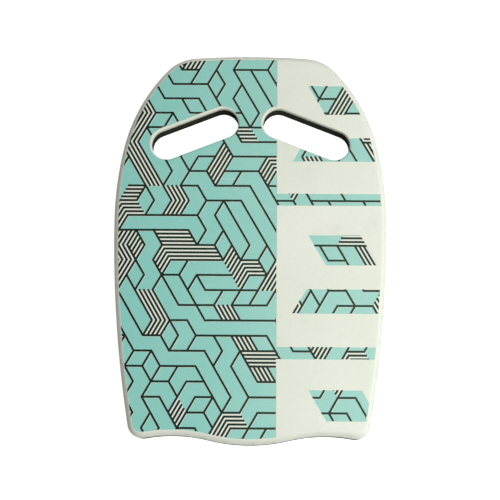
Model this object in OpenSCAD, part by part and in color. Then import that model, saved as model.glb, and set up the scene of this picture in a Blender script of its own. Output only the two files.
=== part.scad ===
// Kickboard float: a two-layer foam swimming board with two hand slots and a printed face.
// It lies on its back on Z = 0, with the origin under its middle. The print faces +Z and the nose +Y.

/* [Board] */
// Length from the lowest point of the tail to the nose
board_length = 420; // [400:1:440]
// Width at the widest point
board_width = 291; // [285:1:300]
// Thickness of the two foams and the glue between them, without the ink
board_thickness = 28; // [24:1:36]
// Thickness of the face sheet
face_thickness = 6; // [6:0.5:9]

/* [Outline] */
// Height of the widest point above the tail
widest_at = 238; // [230:1:245]
// Radius of the nearly flat nose
nose_radius = 900; // [700:10:1100]
// Radius of each corner between the nose and a shoulder
nose_corner_radius = 46; // [40:1:52]
// Radius of each shoulder
shoulder_radius = 184; // [176:1:192]
// Radius of each side above the widest point
upper_side_radius = 365; // [350:5:380]
// Angle that the upper side turns through before the shoulder starts
upper_side_turn = 12.5; // [11:0.5:14]
// Radius of each side below the widest point
lower_side_radius = 1280; // [1200:10:1400]
// Radius of each corner of the tail
tail_corner_radius = 15.5; // [12:0.5:18]
// Radius of each hollow in the tail's edge
hollow_radius = 158; // [140:1:170]
// Distance from the centre line to the deepest point of a hollow
hollow_offset = 80; // [76:1:84]
// Depth of a hollow, from the lowest point of the tail
hollow_depth = 9.5; // [8:0.5:11]

/* [Edges] */
// Width and height of the face sheet's softened outer edge
face_round = 5.5; // [3:0.5:5.5]
// Shape of that edge, where 1 is a flat chamfer and 2 is a quarter circle
face_fullness = 1.35; // [1.1:0.05:2]
// Radius of the core's lower outer edge and of the slots' lower lips
back_round = 2.5; // [1:0.5:4]
// Radius of the slots' upper lips
lip_round = 2; // [1:0.5:4]

/* [Hand slots] */
// Distance between the centres of the two slots
slot_spacing = 120; // [116:1:124]
// Height of the slots' centres above the tail
slot_from_tail = 332; // [324:1:336]
// Length of a slot, end to end
slot_length = 97.5; // [90:0.5:100]
// Width of a slot
slot_width = 32.5; // [28:0.5:34]
// Angle between a slot and the board's width, with the inner end nearer the nose
slot_tilt = 21.5; // [15:0.5:25]

/* [Glue line] */
// Thickness of the glue between the two foams
glue_thickness = 0.2; // [0.1:0.05:0.3]
// Distance that the glue stays back from every edge
glue_setback = 0.8; // [0.5:0.1:2]

/* [Print] */
// Thickness of each layer of ink
ink_thickness = 0.1; // [0.05:0.05:0.2]
// Distance that the ink draws back from its stencil's edge as it dries
ink_shrink = 0.05; // [0.02:0.01:0.1]
// Distance that the whole print sits to the left of the board's middle
print_left = 0.5; // [0:0.1:1]
// Distance that the whole print sits towards the nose
print_up = 0.7; // [0:0.1:1]
// Edge of one cell of the triangular grid that the lines follow
grid_edge = 18.6; // [16:0.2:22]
// Width of a printed line
line_width = 2.3; // [1.6:0.1:2.4]
// Number that picks one pattern out of many
pattern_seed = 14; // [1:1:20]
// Share of the bands that is filled with fine lines
hatch_share = 0.46; // [0:0.02:0.5]
// Distance from the centre line to the unprinted panel
panel_start = 28.5; // [20:0.5:40]
// Height of the tallest windows in the panel, in rows of the grid
window_rows = 2; // [1:0.5:3]

/* [Hidden] */
$fn = 64;
OVERLAP = 1;

CORE_TOP = board_thickness - face_thickness - glue_thickness;
SLOT_STRAIGHT = slot_length - slot_width;
GRID_ROW = grid_edge * sin(60);
GRID_CENTRE = [0, board_length / 2];
HATCH_GAPS = 4;

// Windows in the panel: how many, and the height of the first one's middle and the step to the next one's,
// in rows of the grid from its centre.
WINDOWS = 7;
FIRST_WINDOW = -10.5;
WINDOW_PITCH = 3.4;

// The three kinds of window take turns: a closed one, a low one right through the panel and one that is
// open to the board's edge. Each has its share of the full height, its start and width in cells of the
// grid, and the way that it leans.
KINDS = [[1, 2.3, 3, -1], [0.4, -1, 10, 1], [0.8, 1.3, 10, 1]];

// The waves of the swell under the pattern: height, degrees per cell across and up, and phase.
WAVES = [[1.0, 37, 23, 310], [0.72, -33, 45, 150], [0.36, 29, -55, 60]];
ROUGHNESS = 0.3;

// The outline is a chain of arcs, each tangent to the next. These are the centres of the circles.
UPPER_SIDE = [board_width / 2 - upper_side_radius, widest_at];
SHOULDER = UPPER_SIDE + polar(upper_side_radius - shoulder_radius, upper_side_turn);
NOSE = [0, board_length - nose_radius];
NOSE_CORNER = meet(
    SHOULDER, shoulder_radius - nose_corner_radius,
    NOSE, nose_radius - nose_corner_radius
);
LOWER_SIDE = [board_width / 2 - lower_side_radius, widest_at];
HOLLOW = [hollow_offset, hollow_depth - hollow_radius];
TAIL_RADIUS = (hollow_offset ^ 2 + hollow_depth ^ 2) / (2 * hollow_depth) - hollow_radius;
TAIL = [0, TAIL_RADIUS];
TAIL_CORNER = meet(
    LOWER_SIDE, lower_side_radius - tail_corner_radius,
    HOLLOW, hollow_radius + tail_corner_radius
);

// Where one arc of the outline hands over to the next, as an angle round the first one's centre.
NOSE_END = bearing(NOSE, NOSE_CORNER);
NOSE_CORNER_END = bearing(SHOULDER, NOSE_CORNER);
LOWER_SIDE_END = bearing(LOWER_SIDE, TAIL_CORNER);
TAIL_CORNER_END = bearing(TAIL_CORNER, HOLLOW);

// Each arc of the right half, from the nose to the tail: centre, radius, first and last angle, steps, and
// 1 where it bulges outwards or -1 where it is hollow. The first four and the last four have equal steps
// in all, so that the points above the widest one pair off with those below it.
ARCS = [
    [NOSE, nose_radius, 90, NOSE_END, 8, 1],
    [NOSE_CORNER, nose_corner_radius, NOSE_END, NOSE_CORNER_END, 12, 1],
    [SHOULDER, shoulder_radius, NOSE_CORNER_END, upper_side_turn, 10, 1],
    [UPPER_SIDE, upper_side_radius, upper_side_turn, 0, 6, 1],
    [LOWER_SIDE, lower_side_radius, 0, LOWER_SIDE_END, 6, 1],
    [TAIL_CORNER, tail_corner_radius, LOWER_SIDE_END, TAIL_CORNER_END, 14, 1],
    [HOLLOW, hollow_radius, bearing(HOLLOW, TAIL_CORNER), bearing(HOLLOW, TAIL), 8, -1],
    [TAIL, TAIL_RADIUS, bearing(TAIL, HOLLOW), -90, 8, 1],
];
HALF = 72;
LOOP = 2 * HALF;
ROUND_STEPS = 6;

// The three line directions of the grid, as steps between grid points and as the rise of the stacked blocks.
STEPS = [[1, 0], [0, 1], [-1, -1]];
RISES = [0, 0, 1];

function polar(r, a) = r * [cos(a), sin(a)];

function bearing(from, to) = atan2(to.y - from.y, to.x - from.x);

// The point that is r1 from c1 and r2 from c2, on the left of the way from c1 to c2.
function meet(c1, r1, c2, r2) =
    let (
        gap = norm(c2 - c1),
        along = (r1 ^ 2 - r2 ^ 2 + gap ^ 2) / (2 * gap),
        way = (c2 - c1) / gap
    )
    c1 + along * way + sqrt(r1 ^ 2 - along ^ 2) * [-way.y, way.x];

// Points on one arc, moved into the board by inset, without the last one.
function arc_points(arc, inset) = [
    for (i = [0:arc[4] - 1])
        arc[0] + polar(arc[1] - arc[5] * inset, arc[2] + (arc[3] - arc[2]) * i / arc[4])
];

function half_outline(inset) = [
    for (arc = ARCS) each arc_points(arc, inset),
    [0, inset]
];

// The whole outline, clockwise from the middle of the nose.
function outline(inset) =
    let (right = half_outline(inset))
    concat(right, [for (i = [HALF - 1:-1:1]) [-right[i].x, right[i].y]]);

// Levels of a softened edge as [height, inset], from the lowest up. It starts upright at z and turns over
// to radius above it if up is 1, or comes up from radius below it to stand upright at z if up is -1. It is
// a superellipse: a quarter circle at a fullness of 2, and flatter below that.
function round_levels(radius, z, up, fullness = 2) = [
    for (i = [0:ROUND_STEPS])
        let (a = 90 * (up > 0 ? i : ROUND_STEPS - i) / ROUND_STEPS)
        [z + up * radius * sin(a) ^ (2 / fullness), radius * (1 - cos(a) ^ (2 / fullness))]
];

// The two triangles of each strip across the board between a point above the widest one and its pair below.
function cap_faces(start, up) = [
    for (i = [0:HALF / 2 - 1], left = [false, true])
        let (
            index = left
                ? [LOOP - i, LOOP - i - 1, HALF + i + 1, HALF + i]
                : [i, i + 1, HALF - i - 1, HALF - i],
            ring = [for (n = index) start + n % LOOP],
            strips = i < HALF / 2 - 1
                ? [[ring[0], ring[1], ring[2]], [ring[0], ring[2], ring[3]]]
                : [[ring[0], ring[1], ring[3]]]
        )
        for (f = strips) (left != up) ? f : [f[2], f[1], f[0]]
];

// A slab with the board's outline, whose edge follows the levels [height, inset] from the lowest up.
module slab(levels) {
    points = [for (level = levels) for (p = outline(level[1])) [p.x, p.y, level[0]]];
    sides = [
        for (l = [0:len(levels) - 2], i = [0:LOOP - 1])
            let (next = (i + 1) % LOOP)
            [l * LOOP + i, l * LOOP + next, (l + 1) * LOOP + next, (l + 1) * LOOP + i]
    ];
    top = cap_faces((len(levels) - 1) * LOOP, true);
    bottom = cap_faces(0, false);
    polyhedron(points = points, faces = concat(sides, top, bottom));
}

// Moves a layer from above the tail to its place around the origin.
module layer(z) {
    translate([0, -board_length / 2, z])
        children();
}

module at_slots() {
    for (side = [-1, 1])
        translate([side * slot_spacing / 2, slot_from_tail])
            rotate([0, 0, -side * slot_tilt])
                children();
}

// Half of a slot's cross-section, from z = 0 to height, with a rounded lip at the height.
module slot_section(height, lip) {
    translate([0, -OVERLAP])
        square([slot_width / 2, height + 2 * OVERLAP]);
    difference() {
        translate([0, height - lip])
            square([slot_width / 2 + lip, lip + OVERLAP]);
        translate([slot_width / 2 + lip, height - lip])
            circle(r = lip);
    }
}

// The space of one hand slot through a layer of the given height, with a rounded lip on top.
module slot_space(height, lip) {
    translate([-SLOT_STRAIGHT / 2, 0, 0])
        rotate([90, 0, 90])
            linear_extrude(SLOT_STRAIGHT) {
                slot_section(height, lip);
                mirror([1, 0]) slot_section(height, lip);
            }
    for (end = [-1, 1])
        translate([end * SLOT_STRAIGHT / 2, 0, 0])
            rotate([0, 0, -90 * end])
                rotate_extrude(angle = 180)
                    slot_section(height, lip);
}

// The flat shape of one slot, wider all round by margin.
module slot_shape(margin) {
    square([SLOT_STRAIGHT, slot_width + 2 * margin], center = true);
    for (end = [-1, 1])
        translate([end * SLOT_STRAIGHT / 2, 0])
            circle(d = slot_width + 2 * margin);
}

// The flat part of the face that takes ink. It ends where the edges start to turn over, or a little
// before, because the sheet is printed first and the cut that follows is slightly off.
module print_area() {
    off_cut = [-print_left, print_up];
    difference() {
        intersection() {
            polygon(outline(face_round));
            translate(off_cut) polygon(outline(face_round));
        }
        at_slots() slot_shape(lip_round);
        translate(off_cut)
            at_slots() slot_shape(lip_round);
    }
}

// The unprinted panel on the right, with leaning windows through which the pattern goes on.
module panel() {
    difference() {
        translate([panel_start, -OVERLAP])
            square([board_width, board_length + 2 * OVERLAP]);
        for (i = [0:WINDOWS - 1])
            translate([panel_start, GRID_CENTRE.y + (FIRST_WINDOW + i * WINDOW_PITCH) * GRID_ROW])
                window(KINDS[i % 3]);
    }
}

// One window of a kind, around its middle height. Its ends lean along the grid's lines.
module window(kind) {
    half = kind[0] * window_rows / 2;
    lean = kind[3] * half / 2;
    start = kind[1];
    end = start + kind[2];
    polygon([
        [(start - lean) * grid_edge, -half * GRID_ROW],
        [(end - lean) * grid_edge, -half * GRID_ROW],
        [(end + lean) * grid_edge, half * GRID_ROW],
        [(start + lean) * grid_edge, half * GRID_ROW]
    ]);
}

// A repeatable number from 0 to 1 for two whole numbers.
function shuffle(i, j, salt) =
    let (v = 437.585 * sin(127.1 * i + 311.7 * j + 74.7 * salt))
    v - floor(v);

function add(v) = v * [for (x = v) 1];

// Place of a grid point, in units of the grid's edge.
function grid_place(g) = [g.x - g.y / 2, g.y * sin(60)];

// The pattern is a stack of blocks seen corner on. This swell decides how high the stack is at a point.
function swell(g) =
    let (p = grid_place(g))
    ROUGHNESS * shuffle(g.x, g.y, 6)
        + add([for (wave = WAVES) wave[0] * sin(wave[1] * p.x + wave[2] * p.y + wave[3])]);

function stack_height(g) = ceil(-(g.x + g.y + swell(g)) / 3);

// Whether the stack shows a whole face at grid point g, with sides along directions f and k.
function shows_face(g, f, k) =
    let (h = stack_height(g))
    stack_height(g + STEPS[f]) == h + RISES[f]
        && stack_height(g + STEPS[k]) == h + RISES[k]
        && stack_height(g + STEPS[f] + STEPS[k]) == h + RISES[f] + RISES[k];

// How strongly the band of faces number n, which all have sides along direction f, runs on at point g.
function band_strength(f, n, g) =
    let (p = grid_place(g))
    shuffle(n, f, pattern_seed) + 0.55 * sin(29 * p.x + 41 * p.y + 120 * f + 17 * n + 31 * pattern_seed);

function is_hatched(f, n, g) =
    let (p = grid_place(g))
    shuffle(n, 7 * f + 1, pattern_seed + 5) + 0.6 * sin(33 * p.y + 37 * p.x + 140 * f + 61 * n)
        > 1.3 - hatch_share;

// Every face that can show on the board: grid point, direction that its band crosses, direction that the
// band runs in, and whether fine lines fill it.
FACES = [
    for (row = [-14:14], column = [-9:9], pair = [[0, 1], [1, 2], [0, 2]])
        let (g = [column + floor(row / 2), row])
        if (shows_face(g, pair[0], pair[1]))
            let (
                h = stack_height(g),
                number = [g.x + h, g.y + h, h],
                first = band_strength(pair[0], number[pair[0]], g),
                second = band_strength(pair[1], number[pair[1]], g),
                crossed = first > second ? pair[0] : pair[1],
                along = first > second ? pair[1] : pair[0]
            )
            [g, crossed, along, is_hatched(crossed, number[crossed], g)]
];

function direction(f) = polar(grid_edge, 120 * f);

function on_board(g) = GRID_CENTRE + grid_edge * grid_place(g);

// One printed line across a face, at a share of the way from its first side to its second.
module face_line(face, share) {
    translate(on_board(face[0]) + share * direction(face[1]))
        rotate([0, 0, 120 * face[2]])
            translate([-line_width * tan(30) / 2, -line_width / 2])
                square([grid_edge + line_width * tan(30), line_width]);
}

module pattern_lines() {
    for (face = FACES) {
        step = face[3] ? 1 / HATCH_GAPS : 1;
        for (share = [0:step:1]) face_line(face, share);
    }
}

// The faces that fine lines fill, where no colour is printed.
module hatched_faces() {
    for (face = FACES)
        if (face[3]) {
            corner = on_board(face[0]);
            across = direction(face[1]);
            along = direction(face[2]);
            polygon([corner, corner + across, corner + across + along, corner + along]);
        }
}

module core_slab() {
    levels = concat(round_levels(back_round, back_round, -1), [[CORE_TOP, 0]]);
    color([0.13, 0.14, 0.10])
        layer(0)
            difference() {
                slab(levels);
                at_slots()
                    translate([0, 0, CORE_TOP])
                        mirror([0, 0, 1])
                            slot_space(CORE_TOP, back_round);
            }
}

module glue_line() {
    color([0.85, 0.83, 0.72])
        layer(CORE_TOP)
            linear_extrude(glue_thickness)
                difference() {
                    polygon(outline(glue_setback));
                    at_slots() slot_shape(glue_setback);
                }
}

module face_sheet() {
    edge = round_levels(face_round, face_thickness - face_round, 1, face_fullness);
    levels = concat([[0, 0]], edge);
    color([0.88, 0.90, 0.84])
        layer(CORE_TOP + glue_thickness)
            difference() {
                slab(levels);
                at_slots() slot_space(face_thickness, lip_round);
            }
}

module colour_print() {
    color([0.54, 0.80, 0.74])
        layer(board_thickness)
            linear_extrude(ink_thickness)
                offset(delta = -ink_shrink)
                    difference() {
                        print_area();
                        panel();
                        hatched_faces();
                    }
}

module line_print() {
    color([0.12, 0.18, 0.14])
        layer(board_thickness + ink_thickness)
            linear_extrude(ink_thickness)
                offset(delta = -ink_shrink)
                    difference() {
                        intersection() {
                            pattern_lines();
                            print_area();
                        }
                        panel();
                    }
}

core_slab();
glue_line();
face_sheet();
colour_print();
line_print();
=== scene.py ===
# %% [markdown]
# # A printed foam kickboard
#
# A kickboard is a slab of closed-cell foam that a swimmer holds while only the legs work. This one is
# made of two foams: a thick black core that floats it, and a thin off-white sheet on top that takes the
# print. Two slots go through everything, one for each hand, and the print has two inks: a turquoise
# and a black.
#
# The lesson builds it in the order a factory would: the outline, the two foams and the glue between
# them, then the artwork, then the two films of ink. Every shape is worked out with numpy, and every
# finish is a network of procedural textures.

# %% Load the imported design
import math

import bpy
import numpy as np
from mathutils import Matrix, Vector
from mathutils.geometry import delaunay_2d_cdt


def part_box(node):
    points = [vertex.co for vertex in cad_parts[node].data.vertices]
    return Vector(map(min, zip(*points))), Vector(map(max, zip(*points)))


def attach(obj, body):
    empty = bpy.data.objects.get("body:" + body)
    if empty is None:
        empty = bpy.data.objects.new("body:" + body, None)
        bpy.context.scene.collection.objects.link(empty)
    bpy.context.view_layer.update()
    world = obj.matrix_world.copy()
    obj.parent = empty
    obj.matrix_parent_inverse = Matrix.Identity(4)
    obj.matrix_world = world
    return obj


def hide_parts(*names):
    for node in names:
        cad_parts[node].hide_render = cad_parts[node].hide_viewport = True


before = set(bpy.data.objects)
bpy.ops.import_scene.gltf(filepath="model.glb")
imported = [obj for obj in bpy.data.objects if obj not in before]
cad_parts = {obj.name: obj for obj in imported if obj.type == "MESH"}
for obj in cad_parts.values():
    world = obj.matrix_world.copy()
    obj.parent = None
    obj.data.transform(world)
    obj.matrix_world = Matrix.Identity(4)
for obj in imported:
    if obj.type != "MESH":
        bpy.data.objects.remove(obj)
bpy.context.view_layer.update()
print("design nodes:", sorted(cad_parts))

# %% [markdown]
# ## Sizes
#
# Foam parts are drawn in millimetres, and Blender works in metres, so the whole lesson thinks in
# millimetres and changes over in one place, where a mesh is made. Heights and the board's length and
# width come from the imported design. The radii below are the ones the design was drawn with.

# %% Sizes, in millimetres
MM = 0.001
core_low, core_high = (np.array(v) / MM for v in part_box("core_slab"))
face_low, face_high = (np.array(v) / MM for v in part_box("face_sheet"))
LENGTH = core_high[1] - core_low[1]
WIDTH = core_high[0] - core_low[0]
TAIL_Y = core_low[1]
CORE_TOP = core_high[2]
FACE_BOTTOM, FACE_TOP = face_low[2], face_high[2]

FACE_ROUND = 5.5  # the face sheet's softened outer edge, across and up
FACE_FULLNESS = 1.35  # the shape of that edge: 1 is a flat chamfer, 2 is a quarter circle
BACK_ROUND = 2.5  # the core's lower edges
LIP_ROUND = 2.0  # the slots' upper lips
SEAM_ROUND = 0.35  # the crushed corners on both sides of the glue

print(f"board {LENGTH:.0f} x {WIDTH:.0f} mm, core {CORE_TOP:.1f} mm, face {FACE_TOP - FACE_BOTTOM:.1f} mm")

# %% [markdown]
# ## The view
#
# A catalogue picture of a flat object is taken from nearly straight above, with a longish lens so that
# the far end doesn't shrink much. Here the camera stands a little towards the tail. Blender wants a
# camera as a place and a turn. Three directions at right angles give the turn: where the lens points
# from, what is up in the picture and what is right. Building them from a tilt, a lean and a roll keeps
# each number something that could be read off a tripod.

# %% Camera
SENSOR = 36.0  # mm, the usual full frame
LENS = 99.67  # mm
CAMERA_DISTANCE = 1.470  # m, from the board's face
CAMERA_TILT = math.radians(9.8)  # towards the tail
CAMERA_LEAN = math.radians(0.5)  # towards the right
CAMERA_ROLL = math.radians(0.392)
AIM = Vector((-0.0001, -0.0048, FACE_TOP * MM))


def make_camera():
    """The lens looks back along a line that is tilted and leaned from straight up, then rolls about it."""
    back = Vector(
        (
            math.sin(CAMERA_LEAN),
            -math.sin(CAMERA_TILT) * math.cos(CAMERA_LEAN),
            math.cos(CAMERA_TILT) * math.cos(CAMERA_LEAN),
        )
    )
    level = (-back).cross(Vector((0, 1, 0))).normalized()
    steep = back.cross(level)
    right = math.cos(CAMERA_ROLL) * level + math.sin(CAMERA_ROLL) * steep
    up = math.cos(CAMERA_ROLL) * steep - math.sin(CAMERA_ROLL) * level
    data = bpy.data.cameras.new("camera")
    data.sensor_width, data.lens = SENSOR, LENS
    camera = bpy.data.objects.new("camera", data)
    camera.matrix_world = Matrix((right, up, back)).transposed().to_4x4()
    camera.location = AIM + CAMERA_DISTANCE * back
    bpy.context.scene.collection.objects.link(camera)
    return camera


bpy.context.scene.camera = make_camera()
print("camera at", [round(v, 3) for v in bpy.context.scene.camera.location])

# %% [markdown]
# ## Floor, light and colour
#
# Soft light comes from big sources. A large panel at the right makes the gentle fall from a bright right
# edge to a shaded left edge that shows the shape of the rim. A wide weak panel overhead keeps the shaded
# side readable, and a card beyond the nose throws a little light back at the far rim. The floor is a light
# table: white, and glowing where the lens sees it, so that the board lies on clean white with hardly any
# shadow.
#
# The view transform decides how light becomes screen colour. The plain "Standard" one leaves the inks at
# the colours that they were mixed to, where a filmic one would grey them.

# %% Floor, lights and background
bpy.context.scene.view_settings.view_transform = "Standard"
FLOOR_SIZE = 12.0  # m
FLOOR_DROP = 0.0002  # m, so that the floor and the board's back never share a plane
TABLE_GLOW = 0.89
BACKGROUND_SEEN, BACKGROUND_LIGHT = 1.0, 0.19
BOARD_MIDDLE = Vector((0, 0, 0))
PANELS = [  # name, place in m, width in m, power in W
    ("key_panel", (0.66, -0.22, 1.02), 0.7, 12.9),
    ("top_panel", (0.1, 0.1, 1.9), 1.4, 3),
    ("nose_card", (0, 1.3, 0.45), 0.8, 1.8),
]


def soft_light(name, place, size, power):
    """A square panel of light that faces the board. Its whole power spreads over its whole area."""
    data = bpy.data.lights.new(name, "AREA")
    data.size, data.energy = size, power
    light = bpy.data.objects.new(name, data)
    light.location = place
    light.rotation_euler = (BOARD_MIDDLE - Vector(place)).to_track_quat("-Z", "Y").to_euler()
    bpy.context.scene.collection.objects.link(light)
    return light


def camera_switch(tree, seen, unseen):
    """One number where the lens looks straight at a surface, and another for bounced light."""
    path = tree.nodes.new("ShaderNodeLightPath")
    blend = tree.nodes.new("ShaderNodeMix")
    blend.inputs["A"].default_value, blend.inputs["B"].default_value = unseen, seen
    tree.links.new(path.outputs["Is Camera Ray"], blend.inputs["Factor"])
    return blend.outputs["Result"]


def make_floor():
    """One big square, a hair below the board, that glows only where the lens sees it."""
    mesh = bpy.data.meshes.new("floor")
    half = FLOOR_SIZE / 2
    corners = [(-half, -half), (half, -half), (half, half), (-half, half)]
    mesh.from_pydata([(x, y, -FLOOR_DROP) for x, y in corners], [], [(0, 1, 2, 3)])
    floor = bpy.data.objects.new("floor", mesh)
    bpy.context.scene.collection.objects.link(floor)
    material = bpy.data.materials.new("light_table")
    material.use_nodes = True
    shader = material.node_tree.nodes["Principled BSDF"]
    shader.inputs["Base Color"].default_value = (0.9, 0.9, 0.9, 1)
    shader.inputs["Roughness"].default_value = 0.9
    shader.inputs["Emission Color"].default_value = (1, 1, 1, 1)
    glow = camera_switch(material.node_tree, TABLE_GLOW, 0.0)
    material.node_tree.links.new(glow, shader.inputs["Emission Strength"])
    mesh.materials.append(material)
    return floor


def make_background():
    """White all round: full strength for the lens, and a weak even light for the board."""
    world = bpy.data.worlds.new("background")
    world.use_nodes = True
    bpy.context.scene.world = world
    backdrop = world.node_tree.nodes["Background"]
    backdrop.inputs["Color"].default_value = (1, 1, 1, 1)
    strength = camera_switch(world.node_tree, BACKGROUND_SEEN, BACKGROUND_LIGHT)
    world.node_tree.links.new(strength, backdrop.inputs["Strength"])


make_floor()
make_background()
for panel in PANELS:
    soft_light(*panel)

# %% [markdown]
# ## The outline
#
# A die cutter is a bent steel strip, and a strip is bent in arcs. So the outline is a chain of arcs, each
# tangent to the next: a nearly flat nose, a corner, a shoulder, the long sides, a small tail corner, a
# hollow where the body fits and a soft tongue in the middle. A spline through sampled points would do
# too, but arcs have one great gift. Move an arc inwards and it is still an arc with the same centre, so
# every smaller ring of the rounded rim is exact, with no self-crossing at the corners.

# %% Arcs of the outline
# radii and places in mm, with places measured from the tail and the board's middle line
WIDEST_AT = 238
NOSE_RADIUS, NOSE_CORNER, SHOULDER = 900, 46, 184
UPPER_SIDE, UPPER_TURN = 365, math.radians(12.5)
LOWER_SIDE, TAIL_CORNER = 1280, 15.5
HOLLOW, HOLLOW_AT, HOLLOW_DEPTH = 158, 80, 9.5
TAIL_RADIUS = (HOLLOW_AT**2 + HOLLOW_DEPTH**2) / (2 * HOLLOW_DEPTH) - HOLLOW


def bearing(start, end):
    """The angle from the x axis to the way from start to end."""
    return math.atan2(end[1] - start[1], end[0] - start[0])


def meet(c1, r1, c2, r2):
    """The point at distance r1 from c1 and r2 from c2, on the left of the way from c1 to c2."""
    gap = np.linalg.norm(c2 - c1)
    along = (r1**2 - r2**2 + gap**2) / (2 * gap)
    way = (c2 - c1) / gap
    return c1 + along * way + math.sqrt(r1**2 - along**2) * np.array([-way[1], way[0]])


def outline_arcs():
    """(centre, radius, first angle, last angle, 1 or -1 where it is hollow), from the nose to the tail.
    A circle that is tangent to two others has its centre at known distances from both of theirs."""
    upper = np.array([WIDTH / 2 - UPPER_SIDE, WIDEST_AT])
    turn = np.array([math.cos(UPPER_TURN), math.sin(UPPER_TURN)])
    shoulder = upper + (UPPER_SIDE - SHOULDER) * turn
    nose = np.array([0, LENGTH - NOSE_RADIUS])
    corner = meet(shoulder, SHOULDER - NOSE_CORNER, nose, NOSE_RADIUS - NOSE_CORNER)
    lower = np.array([WIDTH / 2 - LOWER_SIDE, WIDEST_AT])
    hollow = np.array([HOLLOW_AT, HOLLOW_DEPTH - HOLLOW])
    tail_corner = meet(lower, LOWER_SIDE - TAIL_CORNER, hollow, HOLLOW + TAIL_CORNER)
    tail = np.array([0, TAIL_RADIUS])
    return [
        (nose, NOSE_RADIUS, math.pi / 2, bearing(nose, corner), 1),
        (corner, NOSE_CORNER, bearing(nose, corner), bearing(shoulder, corner), 1),
        (shoulder, SHOULDER, bearing(shoulder, corner), UPPER_TURN, 1),
        (upper, UPPER_SIDE, UPPER_TURN, 0, 1),
        (lower, LOWER_SIDE, 0, bearing(lower, tail_corner), 1),
        (tail_corner, TAIL_CORNER, bearing(lower, tail_corner), bearing(tail_corner, hollow), 1),
        (hollow, HOLLOW, bearing(hollow, tail_corner), bearing(hollow, tail), -1),
        (tail, TAIL_RADIUS, bearing(tail, hollow), -math.pi / 2, 1),
    ]


def board_path(spacing):
    """The edge as (points, directions into the foam), anticlockwise, so that the foam lies on the left.
    On an arc, a point is its centre plus the radius times a direction, and that direction, or its
    opposite on a hollow arc, also points out of the foam."""
    points, into = [], []
    for centre, radius, first, last, bulge in outline_arcs():
        steps = math.ceil(radius * abs(last - first) / spacing)
        angle = first + (last - first) * np.arange(steps) / steps
        away = np.stack([np.cos(angle), np.sin(angle)], 1)
        points.append(centre + radius * away)
        into.append(-bulge * away)
    right, right_into = np.concatenate(points), np.concatenate(into)
    right = np.concatenate([right, [[0, 0]]])
    right_into = np.concatenate([right_into, [[0, 1]]])
    mirrored = np.array([-1, 1])
    ring = np.concatenate([right, right[-2:0:-1] * mirrored])
    ring_into = np.concatenate([right_into, right_into[-2:0:-1] * mirrored])
    return ring[::-1] + [0, TAIL_Y], ring_into[::-1]


BOARD, BOARD_INTO = board_path(spacing=1.6)
print(f"outline: {len(BOARD)} points, {np.ptp(BOARD[:, 0]):.1f} x {np.ptp(BOARD[:, 1]):.1f} mm")

# %% [markdown]
# ## The hand slots
#
# Each slot is a stadium: two half circles joined by two straights. Its path runs clockwise, which again
# leaves the foam on the left. With that one habit, the rim and the slots can share the same code.

# %% Slots
SLOT_SPACING, SLOT_FROM_TAIL = 120, 332
SLOT_LENGTH, SLOT_WIDTH = 97.5, 32.5
SLOT_TILT = math.radians(21.5)
SLOT_STRAIGHT = SLOT_LENGTH - SLOT_WIDTH


def slot_frame(side):
    """The middle of a slot and the direction of its long axis. side is -1 on the left and 1 on the right."""
    middle = np.array([side * SLOT_SPACING / 2, SLOT_FROM_TAIL + TAIL_Y])
    return middle, np.array([math.cos(SLOT_TILT), -side * math.sin(SLOT_TILT)])


def slot_path(side, spacing, margin=0.0):
    """The slot's edge as (points, directions into the foam), clockwise. The direction turns through each
    half circle and stands still along each straight, while the foot of the radius does the opposite."""
    radius = SLOT_WIDTH / 2 + margin
    bend = math.ceil(math.pi * radius / spacing)
    run = math.ceil(SLOT_STRAIGHT / spacing)
    half_turn = math.pi / 2 - math.pi * np.arange(bend) / bend
    slide = SLOT_STRAIGHT * (0.5 - np.arange(run) / run)
    angle = np.concatenate([half_turn, np.full(run, -math.pi / 2)])
    angle = np.concatenate([angle, angle - math.pi])
    foot = np.concatenate([np.full(bend, SLOT_STRAIGHT / 2), slide])
    foot = np.concatenate([foot, -foot])
    middle, axis = slot_frame(side)
    across = np.array([-axis[1], axis[0]])
    into = np.cos(angle)[:, None] * axis + np.sin(angle)[:, None] * across
    return middle + foot[:, None] * axis + radius * into, into


def slot_distance(points):
    """How far each point lies from the nearer slot's edge: its distance to the slot's middle line, less the
    half width. Inside a slot it is negative."""
    nearest = np.full(len(points), np.inf)
    for side in (-1, 1):
        middle, axis = slot_frame(side)
        offset = points - middle
        along = np.clip(offset @ axis, -SLOT_STRAIGHT / 2, SLOT_STRAIGHT / 2)
        reach = np.linalg.norm(offset - along[:, None] * axis, axis=1)
        nearest = np.minimum(nearest, reach - SLOT_WIDTH / 2)
    return nearest


SLOTS = [slot_path(side, spacing=1.0) for side in (-1, 1)]
print("slot rings:", [len(points) for points, _ in SLOTS], "points")

# %% [markdown]
# ## Walls and caps
#
# A piece of sheet foam has two kinds of surface. Its edges are walls: a profile carried along a path,
# which is a grid with one parameter along the path and one up the profile. Its faces are caps: flat
# areas with holes. A cap could be one huge polygon, but then it couldn't follow an uneven surface, and it
# would shade badly. So it is filled with an even net of points, joined by a constrained Delaunay
# triangulation, which keeps the given borders and makes the fattest triangles it can.
#
# Beside its place, every point carries one more number: how near it is to an edge, from 0 on the flat to
# 1 on the wall. The finishes use it later, because edges are where foam gets grubby and worn.

# %% Helpers for walls and caps
NET = 5.0  # mm between the points inside a cap
NET_CLEAR = NET * 0.45  # mm that these points keep from a border
DIGITS = 3  # places are rounded to a thousandth of a millimetre
SAME_POINT, SLIVER = 1e-5, 1e-7  # nearer points become one, and flatter triangles are left out
CREASE = math.radians(40)  # sharper corners stay sharp


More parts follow.
